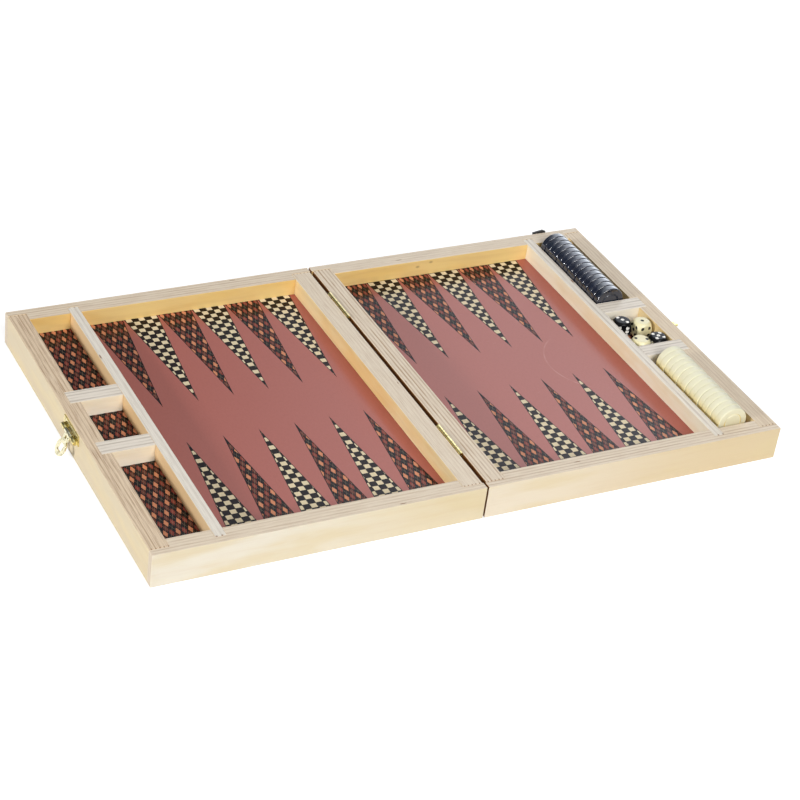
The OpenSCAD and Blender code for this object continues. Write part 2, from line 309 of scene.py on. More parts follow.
    def surface(self, shader: Socket) -> None:
        """Link a shader to the tree's output."""
        output = next(node for node in self.tree.nodes if node.type == "OUTPUT_MATERIAL")
        self.feed(output.inputs["Surface"], shader)

    def bump(self, height: Value, depth_mm: float, strength: float = 1.0) -> Socket:
        """Normal of a surface with low relief.

        Args:
            height: Relief from 0 to 1.
            depth_mm: Depth of the relief.
            strength: Share of the relief that shows.

        Returns:
            The normal's socket.
        """
        made = self.node("Bump")
        made.inputs["Strength"].default_value = strength
        made.inputs["Distance"].default_value = depth_mm * MM
        self.feed(made.inputs["Height"], height)
        return made.outputs[0]


def new_material(name: str) -> tuple[bpy.types.Material, Graph, bpy.types.Node]:
    """An empty material with its shader.

    Args:
        name: Name of the material.

    Returns:
        The material, its graph and its Principled shader.
    """
    material = bpy.data.materials.new(name)
    material.use_nodes = True
    graph = Graph(material.node_tree)
    shader = graph.node("BsdfPrincipled")
    graph.node("OutputMaterial")
    graph.surface(shader.outputs[0])
    return material, graph, shader


class Effects:
    """Surface effects that several finishes share, each built once as a node group."""

    _made: dict[str, bpy.types.NodeTree] = {}

    @classmethod
    def _group(
        cls, name: str, inputs: Sequence[str], outputs: Sequence[str], wire: Callable[..., Sequence[Socket]]
    ) -> bpy.types.NodeTree:
        """Build a group once.

        Args:
            name: Name of the group.
            inputs: Names of its number inputs.
            outputs: Names of its number outputs.
            wire: Makes the output sockets from the graph and the input sockets.

        Returns:
            The group's tree.
        """
        if name not in cls._made:
            tree = bpy.data.node_groups.new(name, "ShaderNodeTree")
            for label in inputs:
                tree.interface.new_socket(label, in_out="INPUT", socket_type="NodeSocketFloat")
            for label in outputs:
                tree.interface.new_socket(label, in_out="OUTPUT", socket_type="NodeSocketFloat")
            graph = Graph(tree)
            entry = graph.node("NodeGroupInput")
            leave = graph.node("NodeGroupOutput")
            results = wire(graph, *(entry.outputs[label] for label in inputs))
            for label, result in zip(outputs, results):
                graph.feed(leave.inputs[label], result)
            cls._made[name] = tree
        return cls._made[name]

    @classmethod
    def grain(cls) -> bpy.types.NodeTree:
        """Wood grain along one direction: soft streaks and fine fibres."""

        def wire(graph: Graph, along: Socket, across: Socket, up: Socket) -> Sequence[Socket]:
            """Streaks from stretched noise, bent a little so that they swell and close."""
            bend = graph.stretched((along, 0.009), (across, 0.05), (up, 0.05), detail=1.0)
            shift = graph.times(graph.minus(bend, 0.5), 9.0)
            streak = graph.stretched((along, 0.006), (graph.add(across, shift), 0.22),
                                     (graph.add(up, shift), 0.22), detail=3.0, rough=0.6)
            fibre = graph.stretched((along, 0.07), (across, 2.6), (up, 2.6), detail=3.0, rough=0.65)
            return streak, fibre

        return cls._group("wood_grain", ("Along", "Across", "Up"), ("Streak", "Fibre"), wire)

    @classmethod
    def handling(cls) -> bpy.types.NodeTree:
        """Marks of use on a smooth surface: broad smudges and short hairlines."""

        def wire(graph: Graph, x: Socket, y: Socket, z: Socket) -> Sequence[Socket]:
            """Two noises, one broad and one drawn out into lines."""
            smudge = graph.stretched((x, 0.06), (y, 0.06), (z, 0.06), detail=3.0, rough=0.6)
            line = graph.stretched((graph.add(x, graph.times(y, 0.4)), 0.12),
                                   (graph.minus(y, graph.times(x, 0.4)), 2.2), (z, 2.2))
            return smudge, graph.fade(line, 0.64, 0.78)

        return cls._group("handling_marks", ("X", "Y", "Z"), ("Smudge", "Hairline"), wire)

    @classmethod
    def marks(cls, graph: Graph, place: Sequence[Socket], scale: float) -> tuple[Socket, Socket]:
        """Smudges and hairlines of a material.

        Args:
            graph: Graph of the material.
            place: Place of the surface point.
            scale: How much finer than on a floor the marks are.

        Returns:
            The smudges and the hairlines, each from 0 to 1.
        """
        x, y, z = (graph.times(value, scale) for value in place)
        made = graph.call(cls.handling(), X=x, Y=y, Z=z)
        return made.outputs["Smudge"], made.outputs["Hairline"]


class LayerAxis(Enum):
    """Direction in which the plies of a strip are stacked."""

    ACROSS_X = 0
    ACROSS_Y = 1


@dataclass(frozen=True)
class Plywood:
    """Pale plywood under satin lacquer, with its plies showing on the rims."""

    name: str
    layers: LayerAxis
    offset: float = 0.0
    lines: float = 0.6
    ragged: float = 0.2
    pair: float = 2.9
    face: Rgb = paint(240, 228, 204)
    warm: Optional[Rgb] = None
    warm_span: tuple[float, float] = (0.0, 1.0)
    inner: Rgb = paint(239, 207, 137)
    # Share and height of the painted shade at the foot of the walls
    foot_shade: float = 0.0
    foot_shade_rise: float = 8.5
    flame: Rgb = paint(233, 191, 108)
    figured: float = 1.0
    pale: Rgb = paint(230, 215, 192)
    tan: Rgb = paint(178, 146, 111)
    brown: Rgb = paint(140, 100, 64)
    # Painted shade of the gap between the trays
    gap_shade: Rgb = paint(150, 98, 48)
    knots: tuple[tuple[float, float], ...] = ()

    def _rim(self, graph: Graph, along: Socket, across: Socket, fibre: Socket) -> tuple[Socket, Socket]:
        """The cut edge of the plies.

        Args:
            graph: Graph to build in.
            along: Place along the strip.
            across: Place across the plies.
            fibre: Fine fibres of the wood.

        Returns:
            The rim's colour, and its dark lines and openings from 0 to 1.
        """
        wander = graph.stretched((along, 0.011), (across, 0.06))
        depth = graph.add(graph.absolute(across), graph.times(wander, 0.8), self.offset)
        step = graph.math("DIVIDE", depth, self.pair)
        index = graph.math("FLOOR", step)
        middle = graph.absolute(graph.minus(graph.math("FRACT", step), 0.5))
        patch = graph.stretched((along, 0.025), (index, 5.3), detail=3.0)
        weight = graph.math("MULTIPLY_ADD", graph.chance(index), 0.5, 0.5)
        band = graph.times(graph.fade(middle, 0.12, 0.28, 1.0, 0.0),
                           graph.fade(patch, 0.3, 0.6, 0.2, 1.0), weight)
        colour = graph.mix(graph.times(band, self.lines), self.pale, self.tan)
        streak = graph.stretched((along, 0.035), (across, 1.9), detail=4.0, rough=0.65)
        colour = graph.mix(graph.fade(streak, 0.50, 0.64, 0.0, self.ragged), colour, self.brown)
        colour = graph.mix(graph.fade(fibre, 0.46, 0.68, 0.0, 0.34), colour, self.tan)
        gap = graph.stretched((along, 0.05), (index, 9.7), level=3.0, detail=1.0)
        opening = graph.times(graph.fade(gap, 0.74, 0.78), graph.fade(middle, 0.08, 0.16, 1.0, 0.0))
        if self.layers is LayerAxis.ACROSS_X:
            butt = graph.fade(graph.absolute(along), BUTT_FROM, BUTT_TO)
            split = graph.times(butt, graph.fade(middle, 0.12, 0.2, 1.0, 0.0), 0.8)
            opening = graph.most(opening, split)
        return graph.mix(opening, colour, self.brown), graph.most(graph.times(band, 0.5), opening)

    def _veneer(self, graph: Graph, place: Sequence[Socket], along: Socket, grain: bpy.types.Node) -> Socket:
        """The broad faces, pale outside and warmer inside, with a painted shade at the foot of the walls.

        Args:
            graph: Graph to build in.
            place: Place of the surface point.
            along: Place along the strip.
            grain: The wood grain's node.

        Returns:
            The veneer's colour.
        """
        x, y, z = place
        outer = graph.most(graph.above(graph.absolute(x), OUTER_X), graph.above(graph.absolute(y), OUTER_Y))
        outside = self.face
        if self.warm:
            outside = graph.mix(graph.fade(along, *self.warm_span), self.face, self.warm)
        colour = graph.mix(outer, self.inner, outside)
        cloud = graph.stretched((along, 0.014), (z, 0.06), level=self.offset, detail=3.0, rough=0.55)
        flame = graph.mix(outer, self.flame, paint(234, 214, 168))
        colour = graph.mix(graph.fade(cloud, 0.42, 0.68, 0.0, 0.55), colour, flame)
        figure = graph.times(graph.math("MULTIPLY_ADD", outer, -0.16, 0.26), self.figured)
        streak = graph.times(graph.fade(grain.outputs["Streak"], 0.4, 0.75), figure)
        colour = graph.mix(streak, colour, paint(206, 164, 104))
        fibre = graph.fade(grain.outputs["Fibre"], 0.5, 0.8, 0.0, 0.12)
        colour = graph.mix(fibre, colour, paint(196, 160, 112))
        for spot_along, spot_z in self.knots:
            reach = graph.reach(graph.times(graph.minus(along, spot_along), 0.6), graph.minus(z, spot_z))
            spot = graph.times(graph.minus(1.0, outer), graph.fade(reach, 0.3, 1.5, 0.55, 0.0))
            colour = graph.mix(spot, colour, self.brown)
        # Painted shade: the veneer darkens towards brown near the floor, at the foot of the wall.
        return graph.mix(graph.fade(z, FLOOR_Z, FLOOR_Z + self.foot_shade_rise, self.foot_shade, 0.0), colour, self.brown)

    def material(self) -> bpy.types.Material:
        """Build the finish.

        Returns:
            The material for strips with these plies.
        """
        material, graph, shader = new_material(self.name)
        x, y, z = graph.place()
        nx, ny, nz = graph.facing()
        across, along, end_on = (y, x, nx) if self.layers is LayerAxis.ACROSS_Y else (x, y, ny)
        grain = graph.call(Effects.grain(), Along=along, Across=across, Up=z)
        fibre = grain.outputs["Fibre"]
        rim, marks = self._rim(graph, along, across, fibre)
        veneer = self._veneer(graph, (x, y, z), along, grain)
        cut = graph.most(*[graph.fade(graph.absolute(axis), 0.75, 0.9) for axis in (nz, end_on)])
        # Painted shade: faces that meet in the gap between the trays take a dark brown.
        in_shaded_gap = graph.times(graph.less(graph.absolute(x), SHADED_GAP_X), graph.above(graph.absolute(nx), 0.6))
        graph.feed(shader.inputs["Base Color"], graph.mix(in_shaded_gap, graph.mix(cut, veneer, rim), self.gap_shade))
        relief = graph.minus(graph.times(fibre, 0.35), graph.times(marks, cut))
        graph.feed(shader.inputs["Roughness"], graph.fade(fibre, 0.2, 0.8, 0.42, 0.56))
        graph.feed(shader.inputs["Normal"], graph.bump(relief, 0.12, 0.6))
        shader.inputs["Specular IOR Level"].default_value = 0.35
        return material


@dataclass(frozen=True)
class PointPrint:
    """Printed field of a tray under gloss lacquer: points, tinted ground and patterned bays."""

    name: str = "printed_field"
    pitch: float = 27.22
    left_first: float = -169.3
    right_first: float = 32.5
    left_shift: float = -1.0
    right_shift: float = -2.0
    askew: float = 0.005
    tip_y: float = 21.9
    base_y: float = 136.0
    base_half: float = 13.1
    outline: float = 0.55
    square: float = 5.0
    first_square: float = 13.6
    ink_spread: float = 0.28
    lozenge_w: float = 4.4
    lozenge_h: float = 10.4
    field_edge: float = 190.6
    bay_middle: float = 213.75
    mark_at: tuple[float, float] = (170.6, -11.9)
    mark_radius: float = 40.7
    mark_end: tuple[float, float] = (138.0, 152.0)
    mark_share: float = 0.2
    ground: Rgb = paint(168, 92, 79)
    cream: Rgb = paint(228, 212, 176)
    ink: Rgb = paint(15, 14, 14)
    orange: Rgb = paint(208, 134, 96)
    maroon: Rgb = paint(130, 54, 42)
    brown: Rgb = paint(96, 46, 34)
    underside: Rgb = paint(222, 200, 162)
    rubbed: Rgb = paint(226, 170, 156)

    def _glass_mark(self, graph: Graph, x: Socket, y: Socket) -> Socket:
        """Faint arc that a glass left on the right-hand field.

        Args:
            graph: Graph to build in.
            x: Place across the board.
            y: Place from front to back.

        Returns:
            The arc's strength, from 0 to 1.
        """
        reach = graph.reach(*[graph.minus(value, middle) for value, middle in zip((x, y), self.mark_at)])
        line = graph.fade(graph.absolute(graph.minus(reach, self.mark_radius)), 0.1, 0.9, 1.0, 0.0)
        broken = graph.fade(graph.stretched((x, 0.07), (y, 0.07)), 0.4, 0.6, 0.3, 1.0)
        return graph.times(line, broken, graph.fade(x, *self.mark_end, 1.0, 0.0))

    def _lattice(self, graph: Graph, across: Socket, along: Socket) -> Socket:
        """Harlequin lattice of lozenges on dark ink.

        Args:
            graph: Graph to build in.
            across: Distance from the pattern's middle line.
            along: Distance along that line.

        Returns:
            The pattern's colour.
        """
        u = graph.math("DIVIDE", across, self.lozenge_w)
        v = graph.math("DIVIDE", along, self.lozenge_h)
        a, b = graph.add(u, v), graph.minus(u, v)
        shares = [graph.math("FLOORED_MODULO", value, 1.0) for value in (a, b)]
        odd = [graph.math("FLOORED_MODULO", graph.math("FLOOR", value), 2.0) for value in (a, b)]
        rims = [graph.least(share, graph.minus(1.0, share)) for share in shares]
        inset = graph.least(*rims)
        filled = graph.fade(inset, 0.10, 0.13)
        both = graph.times(odd[0], odd[1])
        none = graph.times(graph.minus(1.0, odd[0]), graph.minus(1.0, odd[1]))
        slant = graph.times(odd[0], graph.minus(1.0, odd[1]))
        colour = graph.mix(graph.times(none, filled), self.ink, self.orange)
        colour = graph.mix(graph.times(both, filled), colour, self.maroon)
        colour = graph.mix(graph.times(slant, filled), colour, self.brown)
        hair = graph.most(*[graph.fade(rim, 0.46, 0.475) for rim in rims])
        return graph.mix(graph.times(hair, 0.16), colour, self.cream)

    def _points(self, graph: Graph, x: Socket, y: Socket) -> tuple[Socket, Socket]:
        """The print at a place on the floor.

        Args:
            graph: Graph to build in.
            x: Place across the board.
            y: Place from front to back.

        Returns:
            The print's colour, and one where pattern ink covers the ground.
        """
        on_left = graph.less(x, 0.0)
        first = graph.math("MULTIPLY_ADD", on_left, self.left_first - self.right_first, self.right_first)
        shift = graph.math("MULTIPLY_ADD", on_left, self.left_shift - self.right_shift, self.right_shift)
        turned = graph.math("MULTIPLY_ADD", y, self.askew, x)
        y = graph.minus(y, shift)
        step = graph.math("DIVIDE", graph.minus(turned, first), self.pitch)
        index = graph.least(graph.most(graph.math("ROUND", step), 0.0), 5.0)
        across = graph.times(graph.minus(step, index), self.pitch)
        depth = graph.absolute(y)
        rise = graph.minus(depth, self.tip_y)
        half = graph.times(rise, self.base_half / (self.base_y - self.tip_y))
        room = graph.minus(half, graph.absolute(across))
        inside = graph.fade(room, -0.06, 0.06)
        steps = (graph.math("MULTIPLY_ADD", across, 1 / self.square, 0.5),
                 graph.math("MULTIPLY_ADD", rise, 1 / self.square, 0.5 - self.first_square / self.square))
        shares = [graph.math("FLOORED_MODULO", value, 1.0) for value in steps]
        inset = graph.least(*[graph.least(share, graph.minus(1.0, share)) for share in shares])
        dark = graph.math("FLOORED_MODULO", graph.add(*[graph.math("FLOOR", value) for value in steps]), 2.0)
        spread = self.ink_spread / self.square
        inked = graph.most(dark, graph.fade(inset, 0.6 * spread, 1.4 * spread, 1.0, 0.0))
        chequers = graph.mix(inked, self.cream, self.ink)
        in_bay = graph.above(graph.absolute(x), self.field_edge)
        bay_across = graph.minus(graph.absolute(x), self.bay_middle)
        place = graph.add(graph.times(across, graph.minus(1.0, in_bay)), graph.times(bay_across, in_bay))
        lattice = self._lattice(graph, place, depth)
        chequered = graph.math("MODULO", graph.add(index, graph.less(y, 0.0)), 2.0)
        point = graph.mix(chequered, lattice, chequers)
        line = graph.fade(room, self.outline - 0.08, self.outline + 0.08, 1.0, 0.0)
        point = graph.mix(line, point, self.ink)
        colour = graph.mix(in_bay, graph.mix(inside, self.ground, point), lattice)
        return colour, graph.most(inside, in_bay)

    def material(self) -> bpy.types.Material:
        """Build the finish.

        Returns:
            The material of both floor panels.
        """
        material, graph, shader = new_material(self.name)
        x, y, z = graph.place()
        up = graph.facing()[2]
        grain = graph.call(Effects.grain(), Along=y, Across=x, Up=z)
        smudge, hairline = Effects.marks(graph, (x, y, z), 1.0)
        mottle = graph.stretched((x, 0.8), (y, 0.35), detail=3.0)
        print_colour, inked = self._points(graph, x, y)
        print_colour = graph.mix(graph.fade(mottle, 0.35, 0.75, 0.0, 0.10), print_colour, paint(120, 58, 48))
        mark = graph.times(self._glass_mark(graph, x, y), self.mark_share)
        print_colour = graph.mix(mark, print_colour, self.rubbed)
        streak = graph.fade(grain.outputs["Streak"], 0.35, 0.75, 0.0, 0.4)
        bare = graph.mix(streak, self.underside, paint(196, 164, 118))
        printed = graph.above(up, 0.5)
        graph.feed(shader.inputs["Base Color"], graph.mix(printed, bare, print_colour))
        gloss = graph.add(graph.fade(smudge, 0.3, 0.75, 0.18, 0.26), graph.times(hairline, 0.06))
        graph.feed(shader.inputs["Coat Weight"], graph.math("MULTIPLY_ADD", inked, -0.45, 0.45))
        shader.inputs["Coat Roughness"].default_value = 0.34
        shader.inputs["Specular IOR Level"].default_value = 0.12
        dull = graph.times(graph.minus(1.0, printed), 0.6)
        graph.feed(shader.inputs["Roughness"], graph.add(graph.times(gloss, printed), dull))
        relief = graph.add(graph.times(smudge, 0.6), graph.times(mottle, 0.2))
        graph.feed(shader.inputs["Normal"], graph.bump(relief, 0.05, 0.25))
        return material


@dataclass(frozen=True)
class Brass:
    """Polished brass plating, a little tarnished and rubbed."""

    name: str = "polished_brass"
    bright: Rgb = paint(232, 216, 150)
    dull: Rgb = paint(120, 104, 52)

    def material(self) -> bpy.types.Material:
        """Build the finish.

        Returns:
            The material of fittings in this brass.
        """
        material, graph, shader = new_material(self.name)
        smudge, hairline = Effects.marks(graph, graph.place(), 6.0)
        tarnish = graph.fade(smudge, 0.45, 0.75, 0.0, 0.7)
        graph.feed(shader.inputs["Base Color"], graph.mix(tarnish, self.bright, self.dull))
        rough = graph.add(graph.fade(smudge, 0.3, 0.8, 0.12, 0.3), graph.times(hairline, 0.1))
        graph.feed(shader.inputs["Roughness"], rough)
        graph.feed(shader.inputs["Normal"], graph.bump(hairline, 0.02, 0.4))
        shader.inputs["Metallic"].default_value = 1.0
        return material


@dataclass(frozen=True)
class Plastic:
    """Glossy moulded plastic with faint swirls and hairlines, and a painted warm shade where its round sides
    turn down.
    """

    name: str
    body: Rgb
    swirl: Rgb
    roughness: float
    shine: float = 0.5
    coat: float = 0.0
    downturn_shade: Optional[Rgb] = None

    def material(self) -> bpy.types.Material:
        """Build the finish.

        Returns:
            The material in this plastic's colour.
        """
        material, graph, shader = new_material(self.name)
        x, y, z = graph.place()
        smudge, hairline = Effects.marks(graph, (x, y, z), 4.0)
        cloud = graph.fade(graph.noise(graph.vector(x, y, z), 0.12, 3.0), 0.35, 0.75, 0.0, 0.6)
        colour = graph.mix(cloud, self.body, self.swirl)
        if self.downturn_shade:
            # Painted shade: round sides that turn down take a deeper, warmer colour, as light through the
            # plastic would give.
            _, ny, nz = graph.facing()
            round_side = graph.fade(graph.absolute(ny), 0.6, 0.9, 1.0, 0.0)
            turned_down = graph.fade(nz, -0.2, 0.6, 0.9, 0.0)
            colour = graph.mix(graph.times(round_side, turned_down), colour, self.downturn_shade)
        graph.feed(shader.inputs["Base Color"], colour)
        rough = graph.fade(smudge, 0.3, 0.75, self.roughness, self.roughness + 0.1)
        graph.feed(shader.inputs["Roughness"], graph.add(rough, graph.times(hairline, 0.08)))
        graph.feed(shader.inputs["Normal"], graph.bump(hairline, 0.01, 0.3))
        shader.inputs["Specular IOR Level"].default_value = self.shine
        shader.inputs["Coat Weight"].default_value = self.coat
        return material


@dataclass(frozen=True)
class Leather:
    """Black leather with a fine pebbled grain."""

    name: str = "black_leather"
    body: Rgb = paint(30, 29, 29)
    worn: Rgb = paint(54, 51, 50)

    def material(self) -> bpy.types.Material:
        """Build the finish.

        Returns:
            The material of the pull tab.
        """
        material, graph, shader = new_material(self.name)
        x, y, z = graph.place()
        pebble = graph.node("TexVoronoi", feature="DISTANCE_TO_EDGE")
        graph.feed(pebble.inputs["Vector"], graph.vector(x, y, z))
        graph.feed(pebble.inputs["Scale"], 1.7)
        crease = graph.fade(pebble.outputs["Distance"], 0.0, 0.22)
        rub = graph.fade(z, 24.0, 27.6, 0.0, 0.6)
        graph.feed(shader.inputs["Base Color"], graph.mix(graph.times(crease, rub), self.body, self.worn))
        graph.feed(shader.inputs["Roughness"], graph.fade(crease, 0.0, 1.0, 0.62, 0.44))
        graph.feed(shader.inputs["Normal"], graph.bump(crease, 0.12, 0.7))
        return material


class Bench:
    """Steps that the modelled pieces share."""

    @staticmethod
    def clear() -> None:
        """Leave edit mode and deselect everything."""
        if bpy.context.mode != "OBJECT":
            bpy.ops.object.mode_set(mode="OBJECT")
        bpy.ops.object.select_all(action="DESELECT")

    @classmethod
    def take(cls, piece: bpy.types.Object) -> None:
        """Make one piece the only selected and active one."""
        cls.clear()
        piece.select_set(True)
        bpy.context.view_layer.objects.active = piece

    @classmethod
    def pick(cls, piece: bpy.types.Object, kind: str, test: Callable[[Element], bool]) -> None:
        """Enter edit mode with some faces or edges selected.

        Args:
            piece: Piece to work on.
            kind: FACE or EDGE.
            test: Says which elements to select.
        """
        cls.take(piece)
        mesh = piece.data
        for elements in (mesh.vertices, mesh.edges, mesh.polygons):
            for element in elements:
                element.select = False
        for element in mesh.polygons if kind == "FACE" else mesh.edges:
            element.select = test(element)
        bpy.context.tool_settings.mesh_select_mode = (False, kind == "EDGE", kind == "FACE")
        bpy.ops.object.mode_set(mode="EDIT")

    @classmethod
    def apply(cls, piece: bpy.types.Object, kind: str, **settings: object) -> None:
        """Add a modifier and apply it.

        Args:
            piece: Piece to change.
            kind: Modifier type.
            settings: Properties to set on the modifier.
        """
        cls.take(piece)
        bpy.ops.object.modifier_add(type=kind)
        modifier = piece.modifiers[-1]
        for key, value in settings.items():
            setattr(modifier, key, value)
        bpy.ops.object.modifier_apply(modifier=modifier.name)

    @classmethod
    def smooth(cls, piece: bpy.types.Object, degrees: float) -> None:
        """Shade a piece smooth up to an angle between faces."""
        cls.take(piece)
        bpy.ops.object.shade_smooth_by_angle(angle=math.radians(degrees))

    @classmethod
    def copy(cls, piece: bpy.types.Object, name: str, place: Matrix) -> bpy.types.Object:
        """Copy a piece, with its own mesh, to a new place.

        Args:
            piece: Piece to copy.
            name: Name of the copy.
            place: Transform that goes into the copy's mesh.

        Returns:
            The copy.
        """
        cls.take(piece)
        bpy.ops.object.duplicate()
        made = bpy.context.active_object
        made.name = name
        made.data.name = name
        made.data.transform(place)
        return made

    @classmethod
    def drop(cls, *pieces: bpy.types.Object) -> None:
        """Delete pieces that were only patterns or cutters."""
        for piece in pieces:
            bpy.data.objects.remove(piece)


def soften(node: bpy.types.Object, width_mm: float, segments: int) -> None:
    """Round the sharp edges of a solid with live modifiers.

    Args:
        node: Solid to round.
        width_mm: Width of the rounding.
        segments: Faces across the rounding.
    """
    weld = node.modifiers.new("weld", "WELD")
    weld.merge_threshold = 1e-6
    bevel = node.modifiers.new("rounding", "BEVEL")
    bevel.width = width_mm * MM
    bevel.segments = segments
    bevel.limit_method = "ANGLE"
    bevel.angle_limit = math.radians(40)
    bevel.use_clamp_overlap = False
    bevel.miter_outer = "MITER_ARC"


def dress(node: bpy.types.Object, material: bpy.types.Material) -> None:
    """Give a piece one material."""
    node.data.materials.clear()
    node.data.materials.append(material)


@dataclass
class Trays:
    """The wooden strips and printed floors of both trays."""

    nodes: dict[str, bpy.types.Object]
    rounding: float = 0.35
    strips: Sequence[str] = ("front_rail", "back_rail", "end_rail", "hinge_rail",
                             "storage_divider", "partitions")
    panel: str = "base_panel"

    def build(self) -> None:
        """Dress every strip and floor."""
        long = Plywood("plywood_long", LayerAxis.ACROSS_Y, offset=0.4, lines=0.45)
        cross = Plywood("plywood_cross", LayerAxis.ACROSS_X, offset=0.2, inner=paint(244, 222, 172))
        inside = replace(cross, pair=4.0, offset=0.6, ragged=0.1, tan=paint(176, 162, 146))
        finishes = {
            # Painted light and shade: the front rails' faces are a lighter cream, and the left end rail's
            # face a darker one, than the plain veneer, for how the lamps fall on them.
            "left_front_rail": replace(
                long, face=paint(245, 236, 217), warm=paint(238, 222, 188), warm_span=(-190.0, -10.0)),
            "right_front_rail": replace(
                long, name="plywood_right_front", offset=1.3, lines=0.7, face=paint(244, 230, 206),
                warm=paint(233, 211, 171), warm_span=(10.0, 210.0)),
            "left_back_rail": replace(long, name="plywood_left_back", offset=0.9, lines=0.6),
            "right_back_rail": replace(
                long, name="plywood_right_back", offset=1.6, lines=0.25, knots=((90.0, 20.6), (101.5, 23.3))),
            "left_end_rail": replace(
                cross, name="plywood_left_end", lines=0.8, ragged=0.7, face=paint(222, 206, 175),
                pale=paint(228, 207, 178)),
            "right_end_rail": replace(
                cross, name="plywood_right_end", offset=1.1, lines=0.4, pale=paint(227, 209, 181)),
            "left_hinge_rail": replace(cross, name="plywood_left_hinge", offset=0.5, lines=0.25),
            "right_hinge_rail": replace(cross, name="plywood_right_hinge", offset=0.9, lines=1.0),
            # Painted shade: the left divider's inner faces and flame take a darker tan than the right one's,
            # for the shade in its bays.
            "left_storage_divider": replace(
                inside, name="plywood_left_divider", lines=0.35, inner=paint(234, 205, 160),
                flame=paint(226, 190, 138), figured=0.6, foot_shade=0.5, pale=paint(234, 227, 214)),
            "right_storage_divider": replace(
                inside, name="plywood_right_divider", lines=0.6, inner=paint(250, 242, 218),
                flame=paint(240, 218, 170), figured=0.4, pale=paint(234, 226, 212)),
            "partitions": replace(
                inside, name="plywood_partition", layers=LayerAxis.ACROSS_Y, pair=3.4, offset=0.7, lines=0.75,
                inner=paint(250, 242, 224), flame=paint(246, 230, 196), figured=0.3,
                pale=paint(234, 225, 211)),
        }
        printed = PointPrint().material()
        made = {finish.name: finish.material() for finish in finishes.values()}
        for side in SIDES:
            for name in self.strips:
                finish = finishes.get(f"{side}_{name}") or finishes[name]
                strip = self.nodes[f"{side}_{name}"]
                soften(strip, self.rounding, 2)
                dress(strip, made[finish.name])
                LOG.info("%s: dressed in %s", strip.name, finish.name)
            panel = self.nodes[f"{side}_{self.panel}"]
            dress(panel, printed)
            LOG.info("%s: dressed in %s", panel.name, printed.name)


@dataclass
class Fittings:
    """Hinges, screws, clasp and catch."""

    nodes: dict[str, bpy.types.Object]
    rounding: float = 0.12
    plates: Sequence[str] = ("clasp_plate", "clasp_hasp", "catch_plate")
    hidden: Sequence[str] = ("hinge_pins", "clasp_pin", "left_tray_screws", "right_tray_screws")

    def build(self) -> None:
        """Dress every fitting in brass."""
        brass = Brass().material()
        # Painted highlight: the hasp takes a paler copy of the brass, for the white its ring mirrors.
        ring = Brass("brass_painted_highlight", paint(238, 232, 200), paint(132, 122, 78)).material()
        leaves = [name for name in self.nodes if name.endswith("_leaf")]
        for name in (*self.plates, *leaves, *self.hidden):
            finish = ring if name == "clasp_hasp" else brass
            dress(self.nodes[name], finish)
            LOG.info("%s: dressed in %s", name, finish.name)
        for name in self.plates:
            soften(self.nodes[name], self.rounding, 2)


@dataclass
class Checkers:
    """Two rows of turned checkers, modelled once and copied."""

    radius: float = 12.2
    thick: float = 5.7
    edge: float = 0.8
    groove_out: float = 7.6
    groove_width: float = 1.2
    groove_depth: float = 0.55
    facets: int = 96
    turn_step: float = 47.0
    slack: float = 0.25

    def _pattern(self) -> bpy.types.Object:
        """Turn one checker about Z, with rounded edges and a ring groove in each face.

        Returns:
            The checker, in metres, at the origin.
        """
        Bench.clear()
        bpy.ops.mesh.primitive_cylinder_add(
            vertices=self.facets, radius=self.radius * MM, depth=self.thick * MM)
        made = bpy.context.active_object
        made.name = "checker_pattern"
        half = self.thick * MM / 2

        def flat(face: bpy.types.MeshPolygon) -> bool:
            """True for the two round faces."""
            return abs(face.normal.z) > 0.9 and abs(abs(face.center.z) - half) < 1e-6

        def ring(face: bpy.types.MeshPolygon) -> bool:
            """True for the faces of the ring where the groove goes."""
            reach = face.center.xy.length
            low = (self.groove_out - self.groove_width) * MM
            return flat(face) and low * 0.98 < reach < self.groove_out * MM

        def rim(edge: bpy.types.MeshEdge) -> bool:
            """True for the outermost edges of both faces."""
            ends = [made.data.vertices[i].co for i in edge.vertices]
            return all(abs(abs(v.z) - half) < 1e-6 and v.xy.length > (self.radius - 0.01) * MM for v in ends)

        Bench.pick(made, "FACE", flat)
        bpy.ops.mesh.inset(thickness=(self.radius - self.groove_out) * MM, use_individual=True)
        bpy.ops.mesh.inset(thickness=self.groove_width * MM, use_individual=True)
        bpy.ops.object.mode_set(mode="OBJECT")
        Bench.pick(made, "FACE", ring)
        bpy.ops.mesh.inset(thickness=0.4 * self.groove_width * MM, depth=-self.groove_depth * MM)
        bpy.ops.object.mode_set(mode="OBJECT")
        Bench.pick(made, "EDGE", rim)
        bpy.ops.mesh.bevel(offset=self.edge * MM, segments=6, profile=0.5, affect="EDGES")
        bpy.ops.object.mode_set(mode="OBJECT")
        Bench.smooth(made, 35)
        return made

    def build(self) -> None:
        """Copy the checker to every place in both rows."""
        pattern = self._pattern()
        finishes = {
            "black": Plastic("black_checker_gloss", paint(12, 21, 40), paint(19, 31, 53), 0.1, 1.0,
                             coat=0.6).material(),
            # Painted shade: the ivory checkers' round sides turn a warmer yellow where they face down.
            "ivory": Plastic("ivory_checker_gloss", paint(236, 232, 203), paint(232, 226, 193), 0.3, 0.35,
                             downturn_shade=paint(246, 224, 152)).material(),
        }
        stand = Matrix.Rotation(math.radians(90), 4, "X")
        for tint, finish in finishes.items():
            for number in range(1, PER_SIDE + 1):
                node = f"{tint}_checker_{number}"
                low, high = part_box(node)
                spin = Matrix.Rotation(math.radians(self.turn_step * number), 4, "Z")
                loose = Vector((self.slack * MM * math.sin(2.4 * number), 0, 0))
                piece = Bench.copy(pattern, f"turned_{node}",
                                   Matrix.Translation((low + high) / 2 + loose) @ stand @ spin)
                dress(piece, finish)
                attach(piece, node)
                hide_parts(node)
                LOG.info("%s: stands for %s", piece.name, node)
        Bench.drop(pattern)


@dataclass(frozen=True)
class DiePlace:
    """One die as it lies in its bay."""

    node: str
    top: int
    turn: float


